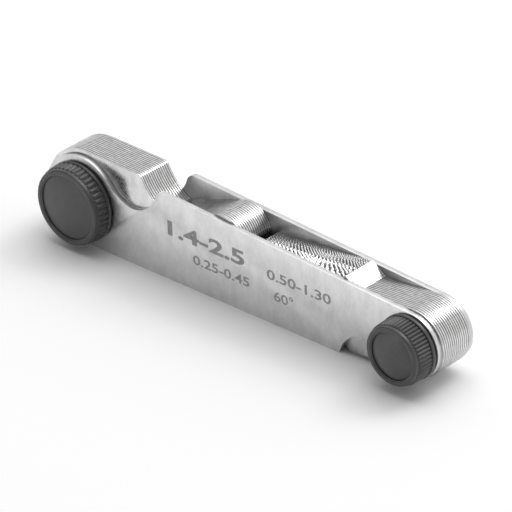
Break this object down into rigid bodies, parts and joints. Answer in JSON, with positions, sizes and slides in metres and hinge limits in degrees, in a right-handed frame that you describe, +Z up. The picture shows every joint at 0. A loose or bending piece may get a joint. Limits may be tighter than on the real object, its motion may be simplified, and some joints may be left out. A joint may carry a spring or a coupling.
{
  "type": "thread pitch gauge",
  "caption": "Folding metric screw pitch gauge: toothed steel leaves swing out of both ends of a tapered two-plate case, and a knurled knob at each pivot clamps them.",
  "frame": {"origin": "middle of the object's bounding box in plan, on the plane of the case's straight bottom edges", "axes": "+X along the case from its tall end to its low end, +Y from the knobs to the back plate, +Z up"},
  "size_m": [0.0912, 0.0154, 0.0179],
  "materials": {
    "case_steel": "satin stainless steel sheet with a fine mottled grain",
    "leaf_steel": "ground spring steel",
    "screw_steel": "plain turned steel",
    "knob_plastic": "satin moulded black plastic",
    "cap_plastic": "smooth satin black plastic",
    "washer_black": "black nylon",
    "insert_brass": "turned brass"
  },
  "bodies": {
    "case": {"front_plate": "case_steel", "back_plate": "case_steel", "big_pivot_screw": "screw_steel", "small_pivot_screw": "screw_steel", "big_knob_washer": "washer_black", "small_knob_washer": "washer_black"},
    "big_knob": {"big_knob": "knob_plastic", "big_knob_insert": "insert_brass", "big_knob_cap": "cap_plastic"},
    "small_knob": {"small_knob": "knob_plastic", "small_knob_insert": "insert_brass", "small_knob_cap": "cap_plastic"},
    "leaf_2_50": {"leaf_2_50": "leaf_steel"},
    "leaf_2_00": {"leaf_2_00": "leaf_steel"},
    "leaf_1_90": {"leaf_1_90": "leaf_steel"},
    "leaf_1_80": {"leaf_1_80": "leaf_steel"},
    "leaf_1_75": {"leaf_1_75": "leaf_steel"},
    "leaf_1_70": {"leaf_1_70": "leaf_steel"},
    "leaf_1_60": {"leaf_1_60": "leaf_steel"},
    "leaf_1_50": {"leaf_1_50": "leaf_steel"},
    "leaf_1_40": {"leaf_1_40": "leaf_steel"},
    "leaf_0_45": {"leaf_0_45": "leaf_steel"},
    "leaf_0_40": {"leaf_0_40": "leaf_steel"},
    "leaf_0_35": {"leaf_0_35": "leaf_steel"},
    "leaf_0_30": {"leaf_0_30": "leaf_steel"},
    "leaf_0_25": {"leaf_0_25": "leaf_steel"},
    "leaf_1_30": {"leaf_1_30": "leaf_steel"},
    "leaf_1_25": {"leaf_1_25": "leaf_steel"},
    "leaf_1_20": {"leaf_1_20": "leaf_steel"},
    "leaf_1_10": {"leaf_1_10": "leaf_steel"},
    "leaf_1_00": {"leaf_1_00": "leaf_steel"},
    "leaf_0_90": {"leaf_0_90": "leaf_steel"},
    "leaf_0_85": {"leaf_0_85": "leaf_steel"},
    "leaf_0_80": {"leaf_0_80": "leaf_steel"},
    "leaf_0_75": {"leaf_0_75": "leaf_steel"},
    "leaf_0_70": {"leaf_0_70": "leaf_steel"},
    "leaf_0_65": {"leaf_0_65": "leaf_steel"},
    "leaf_0_60": {"leaf_0_60": "leaf_steel"},
    "leaf_0_55": {"leaf_0_55": "leaf_steel"},
    "leaf_0_50": {"leaf_0_50": "leaf_steel"}
  },
  "joints": [
    {"name": "big_knob_turn", "type": "hinge", "parent": "case", "child": "big_knob", "pos_m": [-0.0367, -0.00225, 0.0086], "axis": [0, -1, 0], "range_deg": [0, 180]},
    {"name": "small_knob_turn", "type": "hinge", "parent": "case", "child": "small_knob", "pos_m": [0.0393, -0.00225, 0.0075], "axis": [0, -1, 0], "range_deg": [0, 180]},
    {"name": "leaf_2_50_swing", "type": "hinge", "parent": "case", "child": "leaf_2_50", "pos_m": [-0.0367, -0.00097, 0.0086], "axis": [0, -1, 0], "range_deg": [0, 180]},
    {"name": "leaf_2_00_swing", "type": "hinge", "parent": "case", "child": "leaf_2_00", "pos_m": [-0.0367, -0.00047, 0.0086], "axis": [0, -1, 0], "range_deg": [0, 180]},
    {"name": "leaf_1_90_swing", "type": "hinge", "parent": "case", "child": "leaf_1_90", "pos_m": [-0.0367, 0.00003, 0.0086], "axis": [0, -1, 0], "range_deg": [0, 180]},
    {"name": "leaf_1_80_swing", "type": "hinge", "parent": "case", "child": "leaf_1_80", "pos_m": [-0.0367, 0.00052, 0.0086], "axis": [0, -1, 0], "range_deg": [0, 180]},
    {"name": "leaf_1_75_swing", "type": "hinge", "parent": "case", "child": "leaf_1_75", "pos_m": [-0.0367, 0.00103, 0.0086], "axis": [0, -1, 0], "range_deg": [0, 180]},
    {"name": "leaf_1_70_swing", "type": "hinge", "parent": "case", "child": "leaf_1_70", "pos_m": [-0.0367, 0.00153, 0.0086], "axis": [0, -1, 0], "range_deg": [0, 180]},
    {"name": "leaf_1_60_swing", "type": "hinge", "parent": "case", "child": "leaf_1_60", "pos_m": [-0.0367, 0.00202, 0.0086], "axis": [0, -1, 0], "range_deg": [0, 180]},
    {"name": "leaf_1_50_swing", "type": "hinge", "parent": "case", "child": "leaf_1_50", "pos_m": [-0.0367, 0.00252, 0.0086], "axis": [0, -1, 0], "range_deg": [0, 180]},
    {"name": "leaf_1_40_swing", "type": "hinge", "parent": "case", "child": "leaf_1_40", "pos_m": [-0.0367, 0.00302, 0.0086], "axis": [0, -1, 0], "range_deg": [0, 180]},
    {"name": "leaf_0_45_swing", "type": "hinge", "parent": "case", "child": "leaf_0_45", "pos_m": [-0.0367, 0.00352, 0.0086], "axis": [0, -1, 0], "range_deg": [0, 180]},
    {"name": "leaf_0_40_swing", "type": "hinge", "parent": "case", "child": "leaf_0_40", "pos_m": [-0.0367, 0.00402, 0.0086], "axis": [0, -1, 0], "range_deg": [0, 180]},
    {"name": "leaf_0_35_swing", "type": "hinge", "parent": "case", "child": "leaf_0_35", "pos_m": [-0.0367, 0.00453, 0.0086], "axis": [0, -1, 0], "range_deg": [0, 180]},
    {"name": "leaf_0_30_swing", "type": "hinge", "parent": "case", "child": "leaf_0_30", "pos_m": [-0.0367, 0.00502, 0.0086], "axis": [0, -1, 0], "range_deg": [0, 180]},
    {"name": "leaf_0_25_swing", "type": "hinge", "parent": "case", "child": "leaf_0_25", "pos_m": [-0.0367, 0.00553, 0.0086], "axis": [0, -1, 0], "range_deg": [0, 180]},
    {"name": "leaf_1_30_swing", "type": "hinge", "parent": "case", "child": "leaf_1_30", "pos_m": [0.0393, -0.00097, 0.0075], "axis": [0, -1, 0], "range_deg": [0, 180]},
    {"name": "leaf_1_25_swing", "type": "hinge", "parent": "case", "child": "leaf_1_25", "pos_m": [0.0393, -0.00047, 0.0075], "axis": [0, -1, 0], "range_deg": [0, 180]},
    {"name": "leaf_1_20_swing", "type": "hinge", "parent": "case", "child": "leaf_1_20", "pos_m": [0.0393, 0.00003, 0.0075], "axis": [0, -1, 0], "range_deg": [0, 180]},
    {"name": "leaf_1_10_swing", "type": "hinge", "parent": "case", "child": "leaf_1_10", "pos_m": [0.0393, 0.00052, 0.0075], "axis": [0, -1, 0], "range_deg": [0, 180]},
    {"name": "leaf_1_00_swing", "type": "hinge", "parent": "case", "child": "leaf_1_00", "pos_m": [0.0393, 0.00103, 0.0075], "axis": [0, -1, 0], "range_deg": [0, 180]},
    {"name": "leaf_0_90_swing", "type": "hinge", "parent": "case", "child": "leaf_0_90", "pos_m": [0.0393, 0.00153, 0.0075], "axis": [0, -1, 0], "range_deg": [0, 180]},
    {"name": "leaf_0_85_swing", "type": "hinge", "parent": "case", "child": "leaf_0_85", "pos_m": [0.0393, 0.00202, 0.0075], "axis": [0, -1, 0], "range_deg": [0, 180]},
    {"name": "leaf_0_80_swing", "type": "hinge", "parent": "case", "child": "leaf_0_80", "pos_m": [0.0393, 0.00252, 0.0075], "axis": [0, -1, 0], "range_deg": [0, 180]},
    {"name": "leaf_0_75_swing", "type": "hinge", "parent": "case", "child": "leaf_0_75", "pos_m": [0.0393, 0.00302, 0.0075], "axis": [0, -1, 0], "range_deg": [0, 180]},
    {"name": "leaf_0_70_swing", "type": "hinge", "parent": "case", "child": "leaf_0_70", "pos_m": [0.0393, 0.00352, 0.0075], "axis": [0, -1, 0], "range_deg": [0, 180]},
    {"name": "leaf_0_65_swing", "type": "hinge", "parent": "case", "child": "leaf_0_65", "pos_m": [0.0393, 0.00402, 0.0075], "axis": [0, -1, 0], "range_deg": [0, 180]},
    {"name": "leaf_0_60_swing", "type": "hinge", "parent": "case", "child": "leaf_0_60", "pos_m": [0.0393, 0.00453, 0.0075], "axis": [0, -1, 0], "range_deg": [0, 180]},
    {"name": "leaf_0_55_swing", "type": "hinge", "parent": "case", "child": "leaf_0_55", "pos_m": [0.0393, 0.00502, 0.0075], "axis": [0, -1, 0], "range_deg": [0, 180]},
    {"name": "leaf_0_50_swing", "type": "hinge", "parent": "case", "child": "leaf_0_50", "pos_m": [0.0393, 0.00553, 0.0075], "axis": [0, -1, 0], "range_deg": [0, 180]}
  ]
}
